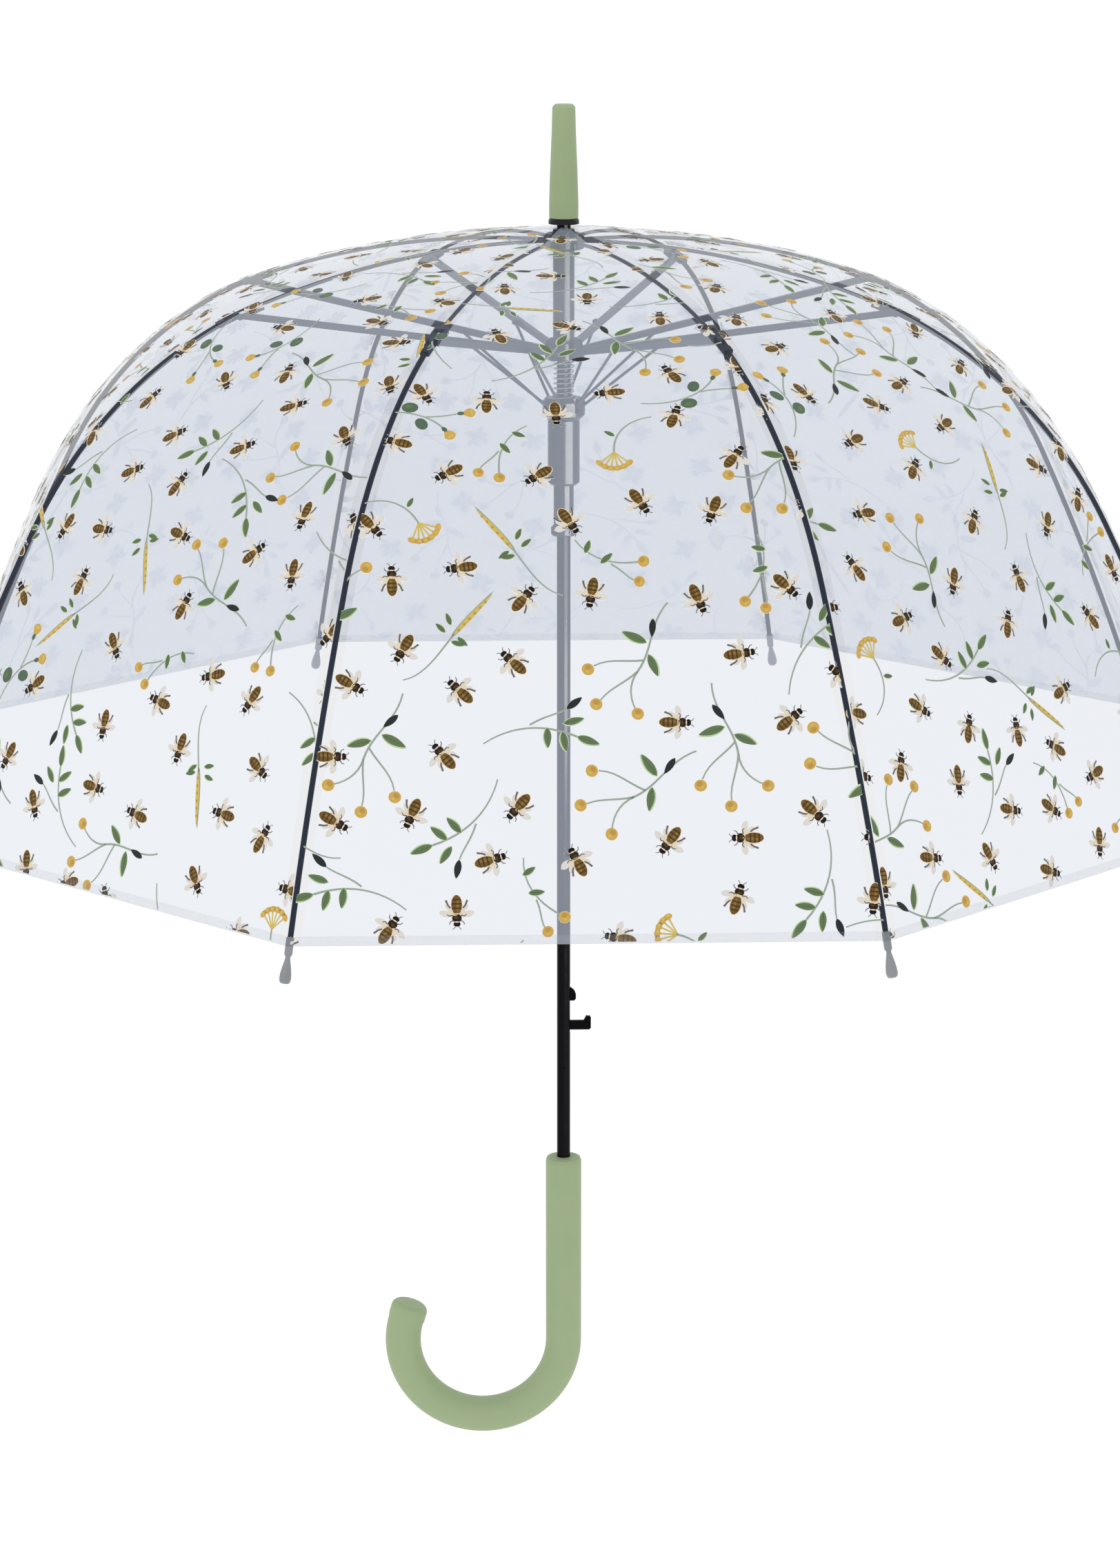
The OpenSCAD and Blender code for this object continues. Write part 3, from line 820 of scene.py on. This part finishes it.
def moved(parts, x, y, turn, flip, size):
    """The parts of a motif, turned and moved to its place on the flat cut."""
    c, s = size * math.cos(turn), size * math.sin(turn)
    result = []
    for ink, layer, faces in parts:
        flipped = [[(flip * u, v) for u, v in face] for face in faces]
        result.append((ink, layer, [placed_at(x, y, c, s, face) for face in flipped]))
    return result


def in_gore(x, y, over):
    """Whether a place is on the gore's flat cut, or no further than over outside it."""
    return abs(x) <= gore_width(min(y, HEM_Y) * MM) / MM / 2 + over


def scatter_sprigs(draw):
    """Sprigs over one gore's flat cut, in millimetres: x across, y down from the crown."""
    spots, placed = [], []
    for _ in range(SPRIG_TRIES):
        y = draw.uniform(PRINT_FROM, HEM_Y + SPRIG_MARGIN)
        x = draw.uniform(-HEM_HALF - SPRIG_MARGIN, HEM_HALF + SPRIG_MARGIN)
        if not in_gore(x, y, SPRIG_OVER):
            continue
        if all(math.hypot(x - a, y - b) > SPRIG_GAP for a, b in spots):
            spots.append((x, y))
            make = SPRIGS[len(spots) % len(SPRIGS)]
            placed.append(moved(make(), x, y, draw.uniform(0, math.tau), draw.choice((1, -1)), SPRIG_SIZE))
    return placed


def scatter_bees(draw, sprigs):
    """Bees over one gore, clear of each other and of the sprigs."""
    corners = np.array([face[0] for parts in sprigs for _, _, faces in parts for face in faces])
    spots, placed = [], []
    for _ in range(BEE_TRIES):
        y = draw.uniform(PRINT_FROM, HEM_Y + BEE_MARGIN)
        x = draw.uniform(-HEM_HALF, HEM_HALF)
        if not in_gore(x, y, BEE_MARGIN):
            continue
        if any(math.hypot(x - a, y - b) < BEE_GAP for a, b in spots):
            continue
        if np.hypot(corners[:, 0] - x, corners[:, 1] - y).min() < BEE_TO_SPRIG:
            continue
        spots.append((x, y))
        placed.append(moved(bee(), x, y, draw.uniform(0, math.tau), 1, BEE_SIZE))
    return placed


def cut(face, side):
    """The part of a convex face where side is positive."""
    values = [side(p) for p in face]
    if min(values) >= 0:
        return face
    if max(values) <= 0:
        return []
    kept = []
    for i, point in enumerate(face):
        after = face[(i + 1) % len(face)]
        a, b = values[i], values[(i + 1) % len(face)]
        if a >= 0:
            kept.append(point)
        if (a > 0) != (b > 0) and a != b:
            t = a / (a - b)
            kept.append((point[0] + t * (after[0] - point[0]), point[1] + t * (after[1] - point[1])))
    return kept if len(kept) > 2 else []


def widened(face, by):
    """The face grown outwards from its middle, for the white laid under the colours."""
    cx, cy = sum(p[0] for p in face) / len(face), sum(p[1] for p in face) / len(face)
    out = []
    for x, y in face:
        far = math.hypot(x - cx, y - cy) + 1e-9
        out.append((x + (x - cx) / far * by, y + (y - cy) / far * by))
    return out


SEAM_CLEAR = 1.2
HEM_CLEAR = 1
PRINT_TOP = 14
BASE_GROW = 0.12
BASE_LAYERS = 4
PRINT_SEED = 41
SPLIT_LENGTH = 90
LINE_ROUNDS = 6
ROOM_BEYOND = 40


def split_line():
    """Where upper and lower film meet on the flat cut, for every millimetre from the gore's middle."""
    across = np.arange(SPLIT_LENGTH) * MM
    rows = np.full(len(across), JOINT_AT)
    for _ in range(LINE_ROUNDS):
        rows = split_at(turn_of(across, rows))
    return (rows / MM).tolist()


SPLIT_LINE = split_line()
ROOM = [gore_width(y * MM) / MM / 2 - SEAM_CLEAR for y in range(int(HEM_Y) + ROOM_BEYOND)]


# Each of the next seven is positive on the side that is kept, in millimetres on the flat cut.

def inside_seam(point):
    row = int(min(max(point[1], 0), len(ROOM) - 2))
    return ROOM[row] - abs(point[0])


def above_hem(point):
    return HEM_Y - HEM_CLEAR - point[1]


def below_top(point):
    return point[1] - PRINT_TOP


def right_of_middle(point):
    return point[0]


def left_of_middle(point):
    return -point[0]


def below_split(point):
    step = min(int(abs(point[0])), len(SPLIT_LINE) - 2)
    return point[1] - SPLIT_LINE[step] - (abs(point[0]) - step) * (SPLIT_LINE[step + 1] - SPLIT_LINE[step])


def above_split(point):
    return -below_split(point)


def cut_all(face, sides):
    """The part of a convex face where every side is positive."""
    for side in sides:
        face = face and cut(face, side)
    return face


def with_base(ink, layer, faces):
    """Each face with its material number and lift, and under the lower layers a white one."""
    number, base = INK_NAMES.index(ink), INK_NAMES.index("base")
    for face in faces:
        yield number, INK_LIFT + layer * INK_STEP, face
        if layer < BASE_LAYERS:
            yield base, BASE_LIFT, widened(face, BASE_GROW)


def share_out(found, gore, number, lift, face):
    """Cuts a face at the gore's middle and at the split, and adds each part to its sector."""
    for rib, half in ((gore, right_of_middle), (gore - 1, left_of_middle)):
        for level, test in (("upper", above_split), ("lower", below_split)):
            part = cut_all(face, (half, test))
            if part:
                found[(rib % RIBS + 1, level)].append((number, lift, gore, part))


def print_sectors():
    """Faces of the print for each sector: (material number, lift, gore, points on the flat cut)."""
    found = {name: [] for name in sector_names()}
    for gore in range(RIBS):
        draw = random.Random(PRINT_SEED + gore)
        sprigs = scatter_sprigs(draw)
        for motif in sprigs + scatter_bees(draw, sprigs):
            for part in motif:
                for number, lift, face in with_base(*part):
                    face = cut_all(face, (inside_seam, above_hem, below_top))
                    share_out(found, gore, number, lift, face)
    return found


def make_print(k, level, rows, materials):
    flat = np.array([p for _, _, _, face in rows for p in face]) * MM
    lifts = np.array([lift for _, lift, _, face in rows for _ in face])
    gores = np.array([gore for _, _, gore, face in rows for _ in face])
    places = film_point(flat[:, 1], turn_of(flat[:, 0], flat[:, 1]), gores, lifts)
    faces, start = [], 0
    for _, _, _, face in rows:
        faces.append(tuple(range(start, start + len(face))))
        start += len(face)
    piece = mesh_piece(f"print_{level}_{k}", places, faces, materials, [r[0] for r in rows])
    weld(piece.data, None)
    return piece


# ---------- Opening spring ----------

SPRING_WIRE = 0.5 * MM
SPRING_TURNS = 21
SPRING_STEPS = 36
SPRING_SIDES = 10


def make_spring(material):
    """A round wire wound between the hub and the lower runner."""
    low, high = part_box("opening_spring")
    radius = (high.x - low.x) / 2 - SPRING_WIRE
    bottom, top = low.z + SPRING_WIRE, high.z - SPRING_WIRE
    count = SPRING_TURNS * SPRING_STEPS
    points, faces = [], []
    for i in range(count + 1):
        turn = math.tau * i / SPRING_STEPS
        z = bottom + (top - bottom) * i / count
        for j in range(SPRING_SIDES):
            around = math.tau * j / SPRING_SIDES
            out = radius + SPRING_WIRE * math.cos(around)
            points.append((out * math.cos(turn), out * math.sin(turn), z + SPRING_WIRE * math.sin(around)))
    for i in range(count):
        for j in range(SPRING_SIDES):
            a, b = i * SPRING_SIDES + j, i * SPRING_SIDES + (j + 1) % SPRING_SIDES
            faces.append((a, a + SPRING_SIDES, b + SPRING_SIDES, b))
    last = len(points) - 1
    faces.append(tuple(range(SPRING_SIDES)))
    faces.append(tuple(range(last, last - SPRING_SIDES, -1)))
    piece = mesh_piece("spring_coil", points, faces, [material])
    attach(piece, "lower_runner")
    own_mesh(piece)
    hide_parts("opening_spring")


# ---------- Putting it together ----------

def dress(node, material):
    """Gives a CAD node its finish."""
    mesh = frame["nodes"][node].data
    mesh.materials.clear()
    mesh.materials.append(material)


def dress_frame():
    """Gives the CAD pieces that stay their finishes, and winds the opening spring."""
    sage = finished("sage plastic", (0.312, 0.397, 0.22), (0.3, 0.385, 0.211),
                    (0.45, 0.55), 1400, 0.05 * MM, gloss=0.3)
    dark = finished("dark plastic", (0.008, 0.009, 0.012), (0.012, 0.013, 0.017),
                    (0.16, 0.24), 900, 0.02 * MM, gloss=0.16)
    black = finished("black enamel", (0.0005, 0.0005, 0.0007), (0.0008, 0.0008, 0.001),
                     (0.1, 0.15), 700, 0.01 * MM, gloss=0.06)
    rods = finished("black rod", (0.003, 0.003, 0.004), (0.005, 0.005, 0.007),
                    (0.25, 0.36), 700, 0.03 * MM, gloss=0.12)
    ribs = finished("rib enamel", (0.03, 0.035, 0.048), (0.04, 0.047, 0.063),
                    (0.25, 0.36), 700, 0.03 * MM, gloss=0.2)
    arms = finished("stretcher enamel", (0.04, 0.046, 0.06), (0.055, 0.062, 0.08),
                    (0.25, 0.38), 600, 0.03 * MM, gloss=0.3)
    steel = finished("drawn steel", (0.5, 0.5, 0.52), (0.42, 0.42, 0.44),
                     (0.2, 0.34), 500, 0.04 * MM, metallic=1.0)
    caps = finished("cap plastic", (0.24, 0.25, 0.27), (0.2, 0.21, 0.23),
                    (0.25, 0.35), 900, 0.04 * MM)
    for node in ("finial", "handle"):
        dress(node, sage)
    for node in ("crown_washer", "crown_notch", "upper_runner", "lower_runner", "runner_collar"):
        dress(node, dark)
    for node in ("shaft", "trigger", "trigger_pin"):
        dress(node, black)
    for node in ("crown_wire", "runner_wire", "trigger_spring"):
        dress(node, steel)
    for k in range(1, RIBS + 1):
        dress(f"rib_inner_{k}", ribs)
        dress(f"rib_outer_{k}", rods)
        dress(f"stretcher_{k}", arms)
        dress(f"strut_{k}", arms)
        dress(f"tip_cap_{k}", caps)
    make_spring(steel)


def make_canopy():
    """Film, print and hem of every sector, riding on its rib in place of the CAD canopy."""
    clear = film_material("clear film", (0.475, 0.525, 0.62), 0.42, 0.14)
    seam = film_material("seam film", (0.045, 0.07, 0.13), 0.24, 0.12)
    hem_film = film_material("hem film", (0.5, 0.52, 0.56), 0.1, 0.2)
    inks = [ink_material(f"ink {name}", INKS[name]) for name in INKS]
    inks.append(base_material())
    found = print_sectors()
    for k, level in sector_names():
        film = make_film(k, level, [clear, seam])
        on_it = [make_print(k, level, found[(k, level)], inks)]
        if level == "lower":
            on_it.append(make_hem(k, [hem_film]))
        for piece in [film] + on_it:
            fold_with(piece, k, level)
        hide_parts("canopy")


make_camera()
make_studio()
streak_light(["shaft", "upper_runner", "lower_runner", "runner_collar", "crown_notch"])
dress_frame()
make_canopy()
